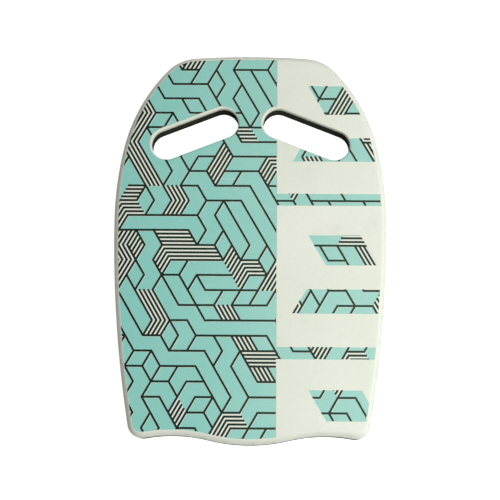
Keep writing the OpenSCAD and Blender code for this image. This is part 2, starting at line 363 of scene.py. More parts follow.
def inside(points, ring):
    """Whether each point is inside the ring: a ray to the right crosses the ring an odd number of times."""
    x, y = points[:, :1], points[:, 1:]
    start, end = ring, np.roll(ring, -1, axis=0)
    spans = (start[:, 1] > y) != (end[:, 1] > y)
    rise = np.where(end[:, 1] == start[:, 1], 1, end[:, 1] - start[:, 1])
    crossing = start[:, 0] + (y - start[:, 1]) * (end[:, 0] - start[:, 0]) / rise
    return np.count_nonzero(spans & (x < crossing), axis=1) % 2 == 1


def net_points(spacing):
    """Points in staggered rows all over the board, as in a sheet of equal triangles."""
    row_height = spacing * math.sin(math.pi / 3)
    rows = np.arange(TAIL_Y, TAIL_Y + LENGTH, row_height)
    columns = np.arange(-WIDTH / 2, WIDTH / 2, spacing)
    x = columns[None] + spacing / 2 * (np.arange(len(rows)) % 2)[:, None]
    return np.stack([x, np.broadcast_to(rows[:, None], x.shape)], -1).reshape(-1, 2)


def triangulate(loose, rings):
    """(points, anticlockwise triangles) of everything that the rings and the loose points span."""
    points, edges = [loose], []
    count = len(loose)
    for ring in rings:
        number = count + np.arange(len(ring))
        edges.append(np.stack([number, np.roll(number, -1)], 1))
        points.append(ring)
        count += len(ring)
    found = delaunay_2d_cdt(
        [Vector(p) for p in np.concatenate(points)],
        np.concatenate(edges).tolist(), [], 0, SAME_POINT, False,
    )
    flat = np.array([tuple(p) for p in found[0]])
    triangles = np.array(found[2])
    a, b, c = (flat[triangles[:, k]] for k in range(3))
    turn = (b[:, 0] - a[:, 0]) * (c[:, 1] - a[:, 1]) - (b[:, 1] - a[:, 1]) * (c[:, 0] - a[:, 0])
    triangles[turn < 0] = triangles[turn < 0][:, ::-1]
    return flat, triangles[np.abs(turn) > SLIVER]


def in_cap(points, rings):
    """Inside the first ring and outside all the others."""
    found = inside(points, rings[0])
    for hole in rings[1:]:
        found &= ~inside(points, hole)
    return found


def cap(rings, height, up):
    """A flat area at one height, with the first ring round it and the other rings as holes."""
    rings = [ring.round(DIGITS) for ring in rings]
    net = net_points(NET)
    net = net[in_cap(net, rings)]
    gap = np.abs(net[:, None] - np.concatenate(rings)[None]).max(2).min(1)
    flat, triangles = triangulate(net[gap > NET_CLEAR], rings)
    keep = in_cap(flat[triangles].mean(1), rings)
    triangles = triangles[keep] if up else triangles[keep][:, ::-1]
    rest = np.broadcast_to([height, 0.0], (len(flat), 2))
    return np.concatenate([flat, rest], 1), triangles


def wall(path, into, profile):
    """The profile's rows of (inset, height, edge) carried along the path. A point is the path's point,
    plus the inset times the direction into the foam, lifted to the height."""
    rows, columns = len(profile), len(path)
    flat = (path[None] + profile[:, 0, None, None] * into[None]).round(DIGITS)
    rest = np.broadcast_to(profile[:, None, 1:], (rows, columns, 2))
    number = np.arange(rows * columns).reshape(rows, columns)
    after = np.roll(number, -1, axis=1)
    quads = np.stack([number[:-1], after[:-1], after[1:], number[1:]], -1)
    return np.concatenate([flat, rest], -1).reshape(-1, 4), quads.reshape(-1, 4)


def join(surfaces):
    """One set of points for several surfaces. Walls and caps both round their places to a thousandth of a
    millimetre, so the points that they share are equal, become one and close the seams."""
    points = np.concatenate([p for p, _ in surfaces])
    starts = np.cumsum([0] + [len(p) for p, _ in surfaces])
    keys = np.round(points[:, :3], DIGITS)
    _, first, number = np.unique(keys, axis=0, return_index=True, return_inverse=True)
    number = number.reshape(-1)
    return points[first], [number[f + s] for (_, f), s in zip(surfaces, starts)]


def make_piece(name, points, faces, body="root"):
    """A mesh object from points in millimetres, with its edge share as an attribute. Flat neighbours shade
    as one surface, and only real corners stay sharp."""
    mesh = bpy.data.meshes.new(name)
    mesh.from_pydata((points[:, :3] * MM).tolist(), [], [f for part in faces for f in part.tolist()])
    mesh.update()
    mesh.shade_smooth()
    mesh.set_sharp_from_angle(angle=CREASE)
    share = mesh.attributes.new("edge_share", "FLOAT", "POINT")
    share.data.foreach_set("value", points[:, 3].astype(np.float32))
    piece = bpy.data.objects.new(name, mesh)
    bpy.context.scene.collection.objects.link(piece)
    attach(piece, body)
    print(f"{name}: {len(points)} points, {sum(len(f) for f in faces)} faces")
    return piece


print("helpers for walls, caps and pieces are ready")

# %% [markdown]
# ## Profiles of a foam edge
#
# The face's outer edge was bevelled with a hot or a spinning tool, and its two corners came out soft. A
# superellipse has that shape: with an exponent of 1 it is a straight bevel, with 2 it is a quarter circle,
# and a value between them gives one slope nearly all the way across. Where the two foams meet, the cutting
# blade crushes the corners a little, so both sheets get a tiny rounding, and a fine groove runs all the
# way round. A blade also drags: foam is squeezed while it is cut and springs back, so the wall of a thick
# core ends up slightly hollow.

# %% Profiles
BLADE_DRAG = 0.55  # mm that the core's wall is hollow in the middle
ROUND_STEPS, WALL_STEPS = 14, 12


def rounding(radius, height, up, fullness=2.0):
    """Rows of (inset, height, edge) round a quarter of a superellipse: the cosine and the sine of a turn,
    each raised to 2 over the fullness. With up 1 it leaves the wall at the height and ends radius above
    it, and with up -1 it starts radius below and joins the wall at the height."""
    turn = np.linspace(0, math.pi / 2, ROUND_STEPS)[:: 1 if up > 0 else -1]
    inset = radius * (1 - np.cos(turn) ** (2 / fullness))
    rise = radius * np.sin(turn) ** (2 / fullness)
    return np.stack([inset, height + up * rise, 1 - inset / radius], 1)


def hollow_wall(bottom, top):
    """Rows straight up between two heights, pulled in by half a sine wave."""
    share = np.linspace(0, 1, WALL_STEPS + 2)[1:-1]
    inset = BLADE_DRAG * np.sin(math.pi * share)
    return np.stack([inset, bottom + (top - bottom) * share, np.ones(WALL_STEPS)], 1)


def face_profile(top_round, fullness=2.0):
    """The crushed corner at the glue, then the softened upper edge, with one straight step between them."""
    return np.concatenate([
        rounding(SEAM_ROUND, FACE_BOTTOM + SEAM_ROUND, -1),
        rounding(top_round, FACE_TOP - top_round, 1, fullness),
    ])


def core_profile():
    """The back's rounding, the hollow wall and the crushed corner at the glue."""
    return np.concatenate([
        rounding(BACK_ROUND, BACK_ROUND, -1),
        hollow_wall(BACK_ROUND, CORE_TOP - SEAM_ROUND),
        rounding(SEAM_ROUND, CORE_TOP - SEAM_ROUND, 1),
    ])


print(f"profile rows: {len(face_profile(FACE_ROUND))} on the face sheet, {len(core_profile())} on the core")

# %% [markdown]
# ## The two foams
#
# Sheet foam is never dead flat. It is sliced from a block, and it gives under every hand and stack that
# it has carried. A few long, shallow waves, a tenth of a millimetre high, are enough for a highlight to
# wander over it as over something soft. The waves fade out towards the glue, where the core holds the
# sheet.
#
# The pieces are closed solids: outer wall, slot walls, top cap and bottom cap.

# %% Face sheet and core
# height in mm, waves per mm across and up, phase
WAVES = [(0.045, 0.0098, 0.0037, 0.4), (0.035, -0.005, 0.0083, 2.1), (0.03, 0.0135, -0.0075, 4.0)]


def unevenness(points):
    """The sum of long waves: each is its height times the sine of its waves across plus its waves up."""
    x, y = points[:, 0], points[:, 1]
    return sum(high * np.sin(2 * math.pi * (fx * x + fy * y) + phase) for high, fx, fy, phase in WAVES)


def foam_sheet(name, outer, slot, relief):
    """A closed sheet between the outer and the slot profile. relief gives how much of the unevenness a
    point takes, from its height."""
    surfaces = [wall(BOARD, BOARD_INTO, outer)]
    surfaces += [wall(path, into, slot) for path, into in SLOTS]
    for row, up in ((0, False), (-1, True)):
        rings = [BOARD + outer[row, 0] * BOARD_INTO]
        rings += [path + slot[row, 0] * into for path, into in SLOTS]
        surfaces.append(cap(rings, outer[row, 1], up))
    points, faces = join(surfaces)
    points[:, 2] += relief(points[:, 2]) * unevenness(points)
    piece = make_piece(name, points, faces)
    return piece


def top_relief(height):
    """The share of the way up through the face sheet: 0 at its underside and 1 at its top."""
    return np.clip((height - FACE_BOTTOM) / (FACE_TOP - FACE_BOTTOM), 0, 1)


def no_relief(height):
    """Nothing at any height, because the thick core stays flat."""
    return np.zeros_like(height)


rim_profile, lip_profile = face_profile(FACE_ROUND, FACE_FULLNESS), face_profile(LIP_ROUND)
face = foam_sheet("face_foam_sheet", rim_profile, lip_profile, top_relief)
core = foam_sheet("core_foam_slab", core_profile(), core_profile(), no_relief)
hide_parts("face_sheet")
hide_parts("core_slab")

# %% [markdown]
# ## The glue
#
# Contact glue is rolled on and pressed. It squeezes towards the edge but not evenly, so the bead comes
# nearer to the edge in some places. It is the same sheet again, with an inset that wanders along the path.

# %% Glue bead
GLUE_SETBACK, GLUE_WANDER, GLUE_BULGE = 0.6, 0.16, 0.06  # mm in from the edge, to and fro, and outwards
GLUE_WAVES = [(0.6, 17, 1.0), (0.4, 41, 2.5)]  # share of the wander, waves in one round, phase


def glue_ring(path, into):
    """The edge path moved in by the setback plus two sine waves that fit a whole number of times round."""
    share = 2 * math.pi * np.arange(len(path)) / len(path)
    wander = sum(high * np.sin(waves * share + phase) for high, waves, phase in GLUE_WAVES)
    return path + (GLUE_SETBACK + GLUE_WANDER * wander)[:, None] * into


def make_glue():
    """Walls along the wandering rings, which stand out a little at half height, closed by two caps."""
    rings = [glue_ring(path, into) for path, into in [(BOARD, BOARD_INTO), *SLOTS]]
    directions = [BOARD_INTO] + [into for _, into in SLOTS]
    middle = (CORE_TOP + FACE_BOTTOM) / 2
    profile = np.array([[GLUE_BULGE, CORE_TOP, 1.0], [0.0, middle, 1.0], [GLUE_BULGE, FACE_BOTTOM, 1.0]])
    surfaces = [wall(ring, into, profile) for ring, into in zip(rings, directions)]
    ends = [ring + profile[0, 0] * into for ring, into in zip(rings, directions)]
    surfaces += [cap(ends, CORE_TOP, False), cap(ends, FACE_BOTTOM, True)]
    return make_piece("glue_bead", *join(surfaces))


glue = make_glue()
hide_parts("glue_line")

# %% [markdown]
# ## The artwork
#
# The print is a picture of stacked blocks seen corner on, drawn on a grid of equal triangles. Nobody
# placed the blocks. A slow swell says how high the stack is at each grid point, and wherever four
# neighbours agree, the stack shows one whole face, a rhombus. Each face gets lines along two of its four
# sides only. Faces in one band agree on which two, so the eye joins them into long folded ribbons. Some
# bands are filled with fine lines in place of colour.
#
# The same numbers could come from a hand-drawn picture, but a rule stays sharp at any size, and another
# seed gives another picture.

# %% Pattern rule
GRID_EDGE, LINE_WIDTH = 18.6, 2.3  # mm
GRID_ROWS, GRID_COLUMNS = 14, 9  # grid points from the middle of the board to beyond its edge
PATTERN_SEED = 14
HATCH_SHARE, HATCH_GAPS = 0.46, 4  # how many bands get fine lines, and the gaps between those
JITTER = 0.3  # height of the random part of the stack
SWELL = [(1.0, 37, 23, 310), (0.72, -33, 45, 150), (0.36, 29, -55, 60)]  # height, degrees per cell, phase
BAND_WAVE, HATCH_WAVE = 0.55, 0.6  # how much a wave over the board adds to a band's random number
STEPS = np.array([[1, 0], [0, 1], [-1, -1]])
RISES = [0, 0, 1]
GRID_ROW = GRID_EDGE * math.sin(math.pi / 3)


def sine(degrees):
    """The sine of an angle in degrees."""
    return np.sin(np.radians(degrees))


def shuffle(i, j, salt):
    """A repeatable number from 0 to 1: the part after the point of a large multiple of a sine."""
    value = 437.585 * sine(127.1 * i + 311.7 * j + 74.7 * salt)
    return value - np.floor(value)


def grid_place(g):
    """Place of grid points in units of the edge: the second axis leans back by 120 degrees."""
    return np.stack([g[..., 0] - g[..., 1] / 2, g[..., 1] * math.sin(math.pi / 3)], -1)


def stack_height(g):
    """Blocks at a grid point: the negative of its two numbers and the swell added up, over three, rounded
    up. The swell is a sum of sine waves plus a random jitter."""
    x, y = np.moveaxis(grid_place(g), -1, 0)
    swell = JITTER * shuffle(g[..., 0], g[..., 1], 6)
    swell = swell + sum(high * sine(fx * x + fy * y + phase) for high, fx, fy, phase in SWELL)
    return np.ceil(-(g[..., 0] + g[..., 1] + swell) / 3).astype(int)


def band_strength(f, n, g):
    """How strongly band n across direction f claims a face: a random number plus a wave over the board."""
    x, y = np.moveaxis(grid_place(g), -1, 0)
    wave = sine(29 * x + 41 * y + 120 * f + 17 * n + 31 * PATTERN_SEED)
    return shuffle(n, f, PATTERN_SEED) + BAND_WAVE * wave


def is_hatched(f, n, g):
    """Whether a band gets fine lines at a face: where another random number plus another wave is high."""
    x, y = np.moveaxis(grid_place(g), -1, 0)
    wave = sine(33 * y + 37 * x + 140 * f + 61 * n)
    return shuffle(n, 7 * f + 1, PATTERN_SEED + 5) + HATCH_WAVE * wave > 1.3 - HATCH_SHARE


def pattern_faces():
    """Every face that the stack shows, as columns: grid point, direction that its band crosses, direction
    that its band runs in, and whether fine lines fill it."""
    row, column = np.mgrid[-GRID_ROWS : GRID_ROWS + 1, -GRID_COLUMNS : GRID_COLUMNS + 1]
    g = np.stack([column + row // 2, row], -1).reshape(-1, 2)
    height = stack_height(g)
    level = np.stack([g[:, 0] + height, g[:, 1] + height, height], 1)
    found = []
    for f, k in ((0, 1), (1, 2), (0, 2)):
        shown = (
            (stack_height(g + STEPS[f]) == height + RISES[f])
            & (stack_height(g + STEPS[k]) == height + RISES[k])
            & (stack_height(g + STEPS[f] + STEPS[k]) == height + RISES[f] + RISES[k])
        )
        at, levels = g[shown], level[shown]
        first = band_strength(f, levels[:, f], at) > band_strength(k, levels[:, k], at)
        crossed, along = np.where(first, f, k), np.where(first, k, f)
        number = np.where(first, levels[:, f], levels[:, k])
        found.append(np.column_stack([at, crossed, along, is_hatched(crossed, number, at)]))
    return np.concatenate(found)


FACES = pattern_faces()
print(f"{len(FACES)} faces in the stack, {int(FACES[:, 4].sum())} of them filled with fine lines")

# %% [markdown]
# ## From faces to lines
#
# Neighbouring faces share sides, so drawing a line for every side would print the same line twice and
# leave joints in long ones. It is better to list the sides, drop the repeats and join those that follow
# each other on one grid line into a single run, as a plotter would. Three numbers name a side: its
# direction, which grid line it lies on and how far along. Sorted by those, the sides of one run are next
# to each other.

# %% Line runs and hatched areas
def grid_to_board(g):
    """A grid point's place in mm: its place in edges times the edge."""
    return GRID_EDGE * grid_place(g)


def direction(f):
    """The grid's direction number f, as a cosine and a sine: each is 120 degrees on from the last."""
    return np.stack([np.cos(np.radians(120 * f)), sine(120 * f)], -1)


def line_sides():
    """(start, direction) of each drawn side, in quarters of a grid step: on a plain face the two sides
    across its band, and on a hatched face the three between them too."""
    sides = []
    for share in range(HATCH_GAPS + 1):
        use = FACES if share in (0, HATCH_GAPS) else FACES[FACES[:, 4] == 1]
        start = HATCH_GAPS * use[:, :2] + share * STEPS[use[:, 2]]
        sides.append(np.column_stack([start, use[:, 3]]))
    return np.unique(np.concatenate(sides), axis=0)


def line_runs():
    """Corners of one rectangle for each run of sides, longer at both ends by what a 120 degree bend needs
    for its outer corner."""
    sides = line_sides()
    x, y, f = sides.T
    line = np.choose(f, [y, x, x - y])
    place = np.choose(f, [x, y, -x])
    order = np.lexsort((place, line, f))
    f, line, place, start = f[order], line[order], place[order], sides[order, :2]
    fresh = np.ones(len(f), bool)
    fresh[1:] = (f[1:] != f[:-1]) | (line[1:] != line[:-1]) | (place[1:] - place[:-1] > HATCH_GAPS)
    first = np.flatnonzero(fresh)
    last = np.append(first[1:], len(f)) - 1
    length = GRID_EDGE * (place[last] - place[first] + HATCH_GAPS) / HATCH_GAPS
    way = direction(f[first])
    extra = LINE_WIDTH / 2 * math.tan(math.pi / 6)
    begin = grid_to_board(start[first] / HATCH_GAPS) - extra * way
    end = begin + (length + 2 * extra)[:, None] * way
    side = LINE_WIDTH / 2 * np.stack([-way[:, 1], way[:, 0]], 1)
    return np.stack([begin - side, end - side, end + side, begin + side], 1)


def hatched_areas():
    """Corners of each hatched face."""
    use = FACES[FACES[:, 4] == 1]
    corner = grid_to_board(use[:, :2])
    across, along = GRID_EDGE * direction(use[:, 2]), GRID_EDGE * direction(use[:, 3])
    return np.stack([corner, corner + across, corner + across + along, corner + along], 1)


RUNS, HATCHED = line_runs(), hatched_areas()
print(f"{len(line_sides())} sides join into {len(RUNS)} lines, and {len(HATCHED)} areas stay without colour")

# %% [markdown]
# ## The plain panel
#
# The right side of the board is left bare, as a quiet panel, with leaning windows through which the
# pattern goes on. Three kinds take turns: a closed one, a low one that runs right through the panel, and
# one that is open to the board's edge. They lean along the grid, so their ends run with the lines.

# %% Panel and windows
PANEL_START = 28.5
WINDOWS, FIRST_WINDOW, WINDOW_PITCH = 7, -10.5, 3.4  # the last two in rows of the grid
KINDS = [(2.0, 2.3, 3, -1), (0.8, -1, 10, 1), (1.6, 1.3, 10, 1)]  # rows, start, width in cells, lean


def window(number):
    """Corners of one window around its middle height. A line of the grid leans by half a cell each row."""
    rows, start, width, lean = KINDS[number % 3]
    across = np.array([start, start + width, start + width, start])
    up = rows / 2 * np.array([-1, -1, 1, 1])
    x = PANEL_START + (across + lean * up / 2) * GRID_EDGE
    return np.stack([x, (FIRST_WINDOW + number * WINDOW_PITCH + up) * GRID_ROW], 1)


WINDOW_AREAS = np.array([window(number) for number in range(WINDOWS)])


def in_rhombs(points, areas):
    """Whether each point is in any of the four-cornered areas with parallel sides. Two shares, one along
    each side from the first corner, are both between 0 and 1 inside."""
    corner, u, v = areas[:, 0], areas[:, 1] - areas[:, 0], areas[:, 3] - areas[:, 0]
    spread = u[:, 0] * v[:, 1] - u[:, 1] * v[:, 0]
    offset = points[:, None] - corner[None]
    a = (offset[..., 0] * v[:, 1] - offset[..., 1] * v[:, 0]) / spread
    b = (offset[..., 1] * u[:, 0] - offset[..., 0] * u[:, 1]) / spread
    return ((a > 0) & (a < 1) & (b > 0) & (b < 1)).any(1)


def in_panel(points):
    """Right of the panel's start and not in any window."""
    return (points[:, 0] > PANEL_START) & ~in_rhombs(points, WINDOW_AREAS)


print("windows:", len(WINDOW_AREAS))

# %% [markdown]
# ## Two plates that don't quite agree
#
# Each ink has its own printing plate. The turquoise plate leaves gaps for the black lines, and the black
# plate fills them. On a real board the second plate is always a hair off, so a sliver of bare foam shows
# along one side of every line. Both plates were also made for a slightly different cut: the print sits
# a little high, and it runs down over the lower lips of the slots.
#
# To get clean films, every border of both plates goes into one triangulation, with rings round the lips
# where the films must bend. After that no triangle crosses a border, so asking what lies under its middle
# settles it: black, turquoise or bare.

# %% Plates
BLACK_OFF = np.array([-0.55, 0.32])  # mm that the black plate is off
PRINT_OFF = np.array([0.0, 0.4])  # mm that the print sits high
SLOT_PRINT_OFF = np.array([-0.75, 0.85])  # mm that the plates' slots are off the cut ones
SLOT_PRINT_MARGIN = 1.55  # mm that the plates' slots are larger all round
BARE_RIM, BARE_LIP = 1.0, 0.3  # mm at an edge that no ink reaches
FILM_NET = 7.0  # mm between the points inside a film
PLATE_STEP, LIP_STEP = 1.2, 1.5  # mm between the points of the plates' slots and of the rings on the lips
LIP_RINGS = (0.5, 0.8, 1.2, 1.6, LIP_ROUND)  # mm from a slot's edge, so that films can bend over the lip


def plate_rings():
    """The borders of the printable area: the start of the rim's bevel and the plates' slots."""
    rings = [BOARD + FACE_ROUND * BOARD_INTO + PRINT_OFF]
    for side in (-1, 1):
        rings.append(slot_path(side, PLATE_STEP, SLOT_PRINT_MARGIN)[0] + SLOT_PRINT_OFF)
    return rings


def in_plate(points):
    """Inside the plate's rim and outside its slots."""
    return inside(points, PLATE_RINGS[0]) & (slot_distance(points - SLOT_PRINT_OFF) > SLOT_PRINT_MARGIN)


def plates():
    """(points, black triangles, turquoise triangles) of the whole face. Each triangle is sorted by what lies
    under its middle."""
    far = LENGTH
    near, beyond = PANEL_START, PANEL_START + far
    panel_side = np.array([[near, -far], [near, far], [beyond, far], [beyond, -far]])
    lips = [slot_path(side, LIP_STEP, margin)[0] for side in (-1, 1) for margin in LIP_RINGS]
    borders = [*PLATE_RINGS, panel_side, *WINDOW_AREAS, *RUNS]
    borders = [ring + off for off in (0, BLACK_OFF) for ring in borders]
    points, triangles = triangulate(net_points(FILM_NET), [*borders, *HATCHED, *lips])
    middle = points[triangles].mean(1)
    on_foam = inside(middle, BOARD + BARE_RIM * BOARD_INTO) & (slot_distance(middle) > BARE_LIP)
    shifted = middle - BLACK_OFF
    black = on_foam & in_rhombs(shifted, RUNS) & in_plate(shifted) & ~in_panel(shifted)
    bare = in_rhombs(middle, RUNS) | in_rhombs(middle, HATCHED) | in_panel(middle)
    colour = on_foam & in_plate(middle) & ~bare & ~black
    return points, triangles[black], triangles[colour]


PLATE_RINGS = plate_rings()
PLATE_POINTS, BLACK, TURQUOISE = plates()
print(f"plates: {len(BLACK)} black and {len(TURQUOISE)} turquoise triangles")

# %% [markdown]
# ## Films of ink
#
# Ink is a film a few hundredths of a millimetre thick that lies on the foam and follows it, over the
# long waves and down over a slot's lip. So its height is a function of place: the same function that
# shaped the face. A film is a closed solid: its top, its underside just below the foam's surface, and a
# little wall wherever a triangle's side has no neighbour.

# %% Ink films
FILM_ABOVE, FILM_BELOW = 0.07, 0.03  # mm from the foam's surface to the film's top and underside


def face_height(points):
    """Height of the foam's upper surface: the flat top, less the fall of the lip's quarter circle near a
    slot, plus the sheet's unevenness."""
    depth = np.clip(LIP_ROUND - slot_distance(points), 0, LIP_ROUND)
    fall = LIP_ROUND - np.sqrt(LIP_ROUND**2 - depth**2)
    return FACE_TOP - fall + top_relief(FACE_TOP - fall) * unevenness(points)


def film(name, triangles):
    """Top and underside from the same triangles, and a quad under each side that only one of them has."""
    used, number = np.unique(triangles, return_inverse=True)
    number = number.reshape(triangles.shape)
    flat, count = PLATE_POINTS[used], len(used)
    foam = face_height(flat)
    top = np.column_stack([flat, foam + FILM_ABOVE, np.zeros(count)])
    under = np.column_stack([flat, foam - FILM_BELOW, np.ones(count)])
    start = number.reshape(-1)
    end = np.roll(number, -1, axis=1).reshape(-1)
    border = ~np.isin(start * count + end, end * count + start)
    start, end = start[border], end[border]
    rim = np.stack([start + count, end + count, end, start], 1)
    return make_piece(name, np.concatenate([top, under]), [number, number[:, ::-1] + count, rim])


lines_film = film("line_ink_film", BLACK)
colour_film = film("colour_ink_film", TURQUOISE)
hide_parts("line_print")
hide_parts("colour_print")

# %% [markdown]
# ## Finishes: shared effects
#
# Four effects come back in several finishes, so each is a node group, built once. Closed cells are the
# tiny bubbles of foam, and they show through thin ink too. Drift is the slow change of tone that no real
# surface is without. Handling gives rare smudges and fine scuffs. Edge wear grows where the edge share is
# high. Each group only puts out numbers, and the shader itself stays in the material.

# %% Node helpers
def srgb(red, green, blue):
    """Screen values from 0 to 255 as the linear light that a shader works with."""
    value = np.array([red, green, blue]) / 255
    linear = np.where(value <= 0.04045, value / 12.92, ((value + 0.055) / 1.055) ** 2.4)
    return (*[float(v) for v in linear], 1.0)


def add(tree, kind, values=None, links=None, **settings):
    """A node with its settings, its fixed input values and its links, all by name or number."""
    node = tree.nodes.new(kind)
    for name, value in settings.items():
        setattr(node, name, value)
    for name, value in (values or {}).items():
        node.inputs[name].default_value = value
    for name, socket in (links or {}).items():
        tree.links.new(socket, node.inputs[name])
    return node


def maths(tree, operation, first, second):
    """A Math node on two inputs, each a number or a socket."""
    node = add(tree, "ShaderNodeMath", operation=operation)
    for number, value in enumerate((first, second)):
        if isinstance(value, (int, float)):
            node.inputs[number].default_value = value
        else:
            tree.links.new(value, node.inputs[number])
    return node.outputs[0]


def between(tree, value, low, high):
    """0 where the value is low, 1 where it is high, and a smooth step between them."""
    return add(
        tree, "ShaderNodeMapRange", {"From Min": low, "From Max": high}, {"Value": value},
        interpolation_type="SMOOTHSTEP",
    ).outputs["Result"]


def noise(tree, place, scale, detail, roughness=0.5):
    """Soft random values around a half: scale in lumps per metre, and detail in finer and finer layers."""
    return add(
        tree, "ShaderNodeTexNoise",
        {"Scale": scale, "Detail": detail, "Roughness": roughness}, {"Vector": place},
    ).outputs["Fac"]


def new_group(name, inputs, outputs):
    """An empty node group with (label, socket kind, start value) inputs and float outputs."""
    group = bpy.data.node_groups.new(name, "ShaderNodeTree")
    for label, kind, value in inputs:
        socket = group.interface.new_socket(label, in_out="INPUT", socket_type=kind)
        socket.default_value = value
    for label in outputs:
        group.interface.new_socket(label, in_out="OUTPUT", socket_type="NodeSocketFloat")
    return group, group.nodes.new("NodeGroupInput").outputs, group.nodes.new("NodeGroupOutput").inputs


PLACE = ("Place", "NodeSocketVector", (0.0, 0.0, 0.0))
print("node helpers are ready")

# %% [markdown]
# Closed cells: a Voronoi texture divides space into cells, each with its own distance from the middle and
# its own random tone. That is exactly what a cut through bubbles looks like.

# %% Effect groups
def closed_cells():
    """Height is high at a cell's wall and low in its middle, and Tone is one random number for each cell."""
    group, given, wanted = new_group(
        "closed_cells", [PLACE, ("Cells per metre", "NodeSocketFloat", 1500.0)], ["Height", "Tone"]
    )
    links = {"Vector": given["Place"], "Scale": given["Cells per metre"]}
    cells = add(group, "ShaderNodeTexVoronoi", links=links)
    group.links.new(between(group, cells.outputs["Distance"], 0.0, 0.75), wanted["Height"])
    tone = add(group, "ShaderNodeSeparateColor", links={"Color": cells.outputs["Color"]})
    group.links.new(tone.outputs["Red"], wanted["Tone"])
    return group


def slow_drift():
    """Broad is tone that drifts over a hand's width, and Fine is mottling a few millimetres across."""
    group, given, wanted = new_group("slow_drift", [PLACE], ["Broad", "Fine"])
    broad = noise(group, given["Place"], 9.0, 3.0)
    fine = noise(group, given["Place"], 240.0, 4.0, 0.6)
    group.links.new(between(group, broad, 0.3, 0.7), wanted["Broad"])
    group.links.new(between(group, fine, 0.25, 0.75), wanted["Fine"])
    return group


def handling():
    """Smudge is rare and soft. Scuff is fine short scratches: noise stretched one way, cut to its peaks,
    and let through only in patches."""
    group, given, wanted = new_group("handling", [PLACE], ["Smudge", "Scuff"])
    patches = noise(group, given["Place"], 26.0, 3.0)
    group.links.new(between(group, patches, 0.62, 0.78), wanted["Smudge"])
    stretched = add(
        group, "ShaderNodeMapping",
        {"Rotation": (0, 0, math.radians(34)), "Scale": (22.0, 900.0, 60.0)}, {"Vector": given["Place"]},
    )
    hairs = between(group, noise(group, stretched.outputs["Vector"], 1.0, 1.0), 0.66, 0.72)
    where = between(group, noise(group, given["Place"], 14.0, 1.0), 0.52, 0.66)
    group.links.new(maths(group, "MULTIPLY", hairs, where), wanted["Scuff"])
    return group


def edge_wear():
    """Wear is the edge share times broken noise, so an edge is worn in stretches and never evenly."""
    group, given, wanted = new_group(
        "edge_wear", [PLACE, ("Edge share", "NodeSocketFloat", 0.0)], ["Wear"]
    )
    broken = between(group, noise(group, given["Place"], 130.0, 5.0, 0.65), 0.42, 0.68)
    near = between(group, given["Edge share"], 0.15, 0.8)
    group.links.new(maths(group, "MULTIPLY", broken, near), wanted["Wear"])
    return group


CELLS, DRIFT, HANDLING, WEAR = closed_cells(), slow_drift(), handling(), edge_wear()
print("effect groups:", [g.name for g in (CELLS, DRIFT, HANDLING, WEAR)])

# %% [markdown]
# ## Finishes: the materials
#
# Every finish starts the same way: an empty material, the object's own coordinates, the edge share, and
# the four effects. After that each one mixes its own tones. A mix by a mask is how paint is layered: the
# tone below, the tone above and where the upper one covers.

# %% Material helpers
class Finish:
    """A material under construction: its tree, its shader, where we are on the piece, and the effects."""

    def __init__(self, name, cells_per_metre):
        self.material = bpy.data.materials.new(name)
        self.material.use_nodes = True
        self.tree = self.material.node_tree
        self.shader = self.tree.nodes["Principled BSDF"]
        self.place = self.tree.nodes.new("ShaderNodeTexCoord").outputs["Object"]
        attribute = add(self.tree, "ShaderNodeAttribute", attribute_name="edge_share")
        self.edge = attribute.outputs["Fac"]
        self.cells = self.effect(CELLS, {"Cells per metre": cells_per_metre})
        self.drift = self.effect(DRIFT)
        self.handling = self.effect(HANDLING)
        self.wear = self.effect(WEAR, links={"Edge share": self.edge})["Wear"]

    def effect(self, group, values=None, links=None):
        """One of the shared groups, placed on this piece with its own values."""
        node = self.tree.nodes.new("ShaderNodeGroup")
        node.node_tree = group
        for name, value in (values or {}).items():
            node.inputs[name].default_value = value
        for name, socket in {"Place": self.place, **(links or {})}.items():
            self.tree.links.new(socket, node.inputs[name])
        return node.outputs

    def part(self, mask, share):
        """A mask turned down to a share of itself."""
        return maths(self.tree, "MULTIPLY", mask, share)

    def tones(self, mask, below, above):
        """One colour where the mask is 0 and another where it is 1. Each is a colour or a socket."""
        node = add(self.tree, "ShaderNodeMix", data_type="RGBA")
        self.tree.links.new(mask, node.inputs["Factor"])
        for socket, colour in ((node.inputs[6], below), (node.inputs[7], above)):
            if isinstance(colour, tuple):
                socket.default_value = colour
            else:
                self.tree.links.new(colour, socket)
        return node.outputs[2]

    def coats(self, colour, rows):
        """Lays tones over a colour in turn. Each row is a mask, how far it covers and its tone."""
        for mask, share, tone in rows:
            colour = self.tones(self.part(mask, share), colour, tone)
        return colour

    def weighed(self, base, rows):
        """A base value plus masks, each times its weight."""
        for mask, weight in rows:
            base = maths(self.tree, "ADD", self.part(mask, weight), base)
        return base

    def finish(self, colour, roughness, height, depth):
        """Connects colour, roughness and a bump whose height of 1 stands for a depth in metres."""
        self.tree.links.new(colour, self.shader.inputs["Base Color"])
        self.tree.links.new(roughness, self.shader.inputs["Roughness"])
        bump = add(self.tree, "ShaderNodeBump", {"Strength": 1.0, "Distance": depth}, {"Height": height})
        self.tree.links.new(bump.outputs["Normal"], self.shader.inputs["Normal"])
        return self.material


def wear_out(piece, material):
    """Gives a piece its finish."""
    piece.data.materials.clear()
    piece.data.materials.append(material)
    print(f"{piece.name}: {material.name}, {len(material.node_tree.nodes)} nodes")


print("material helpers are ready")
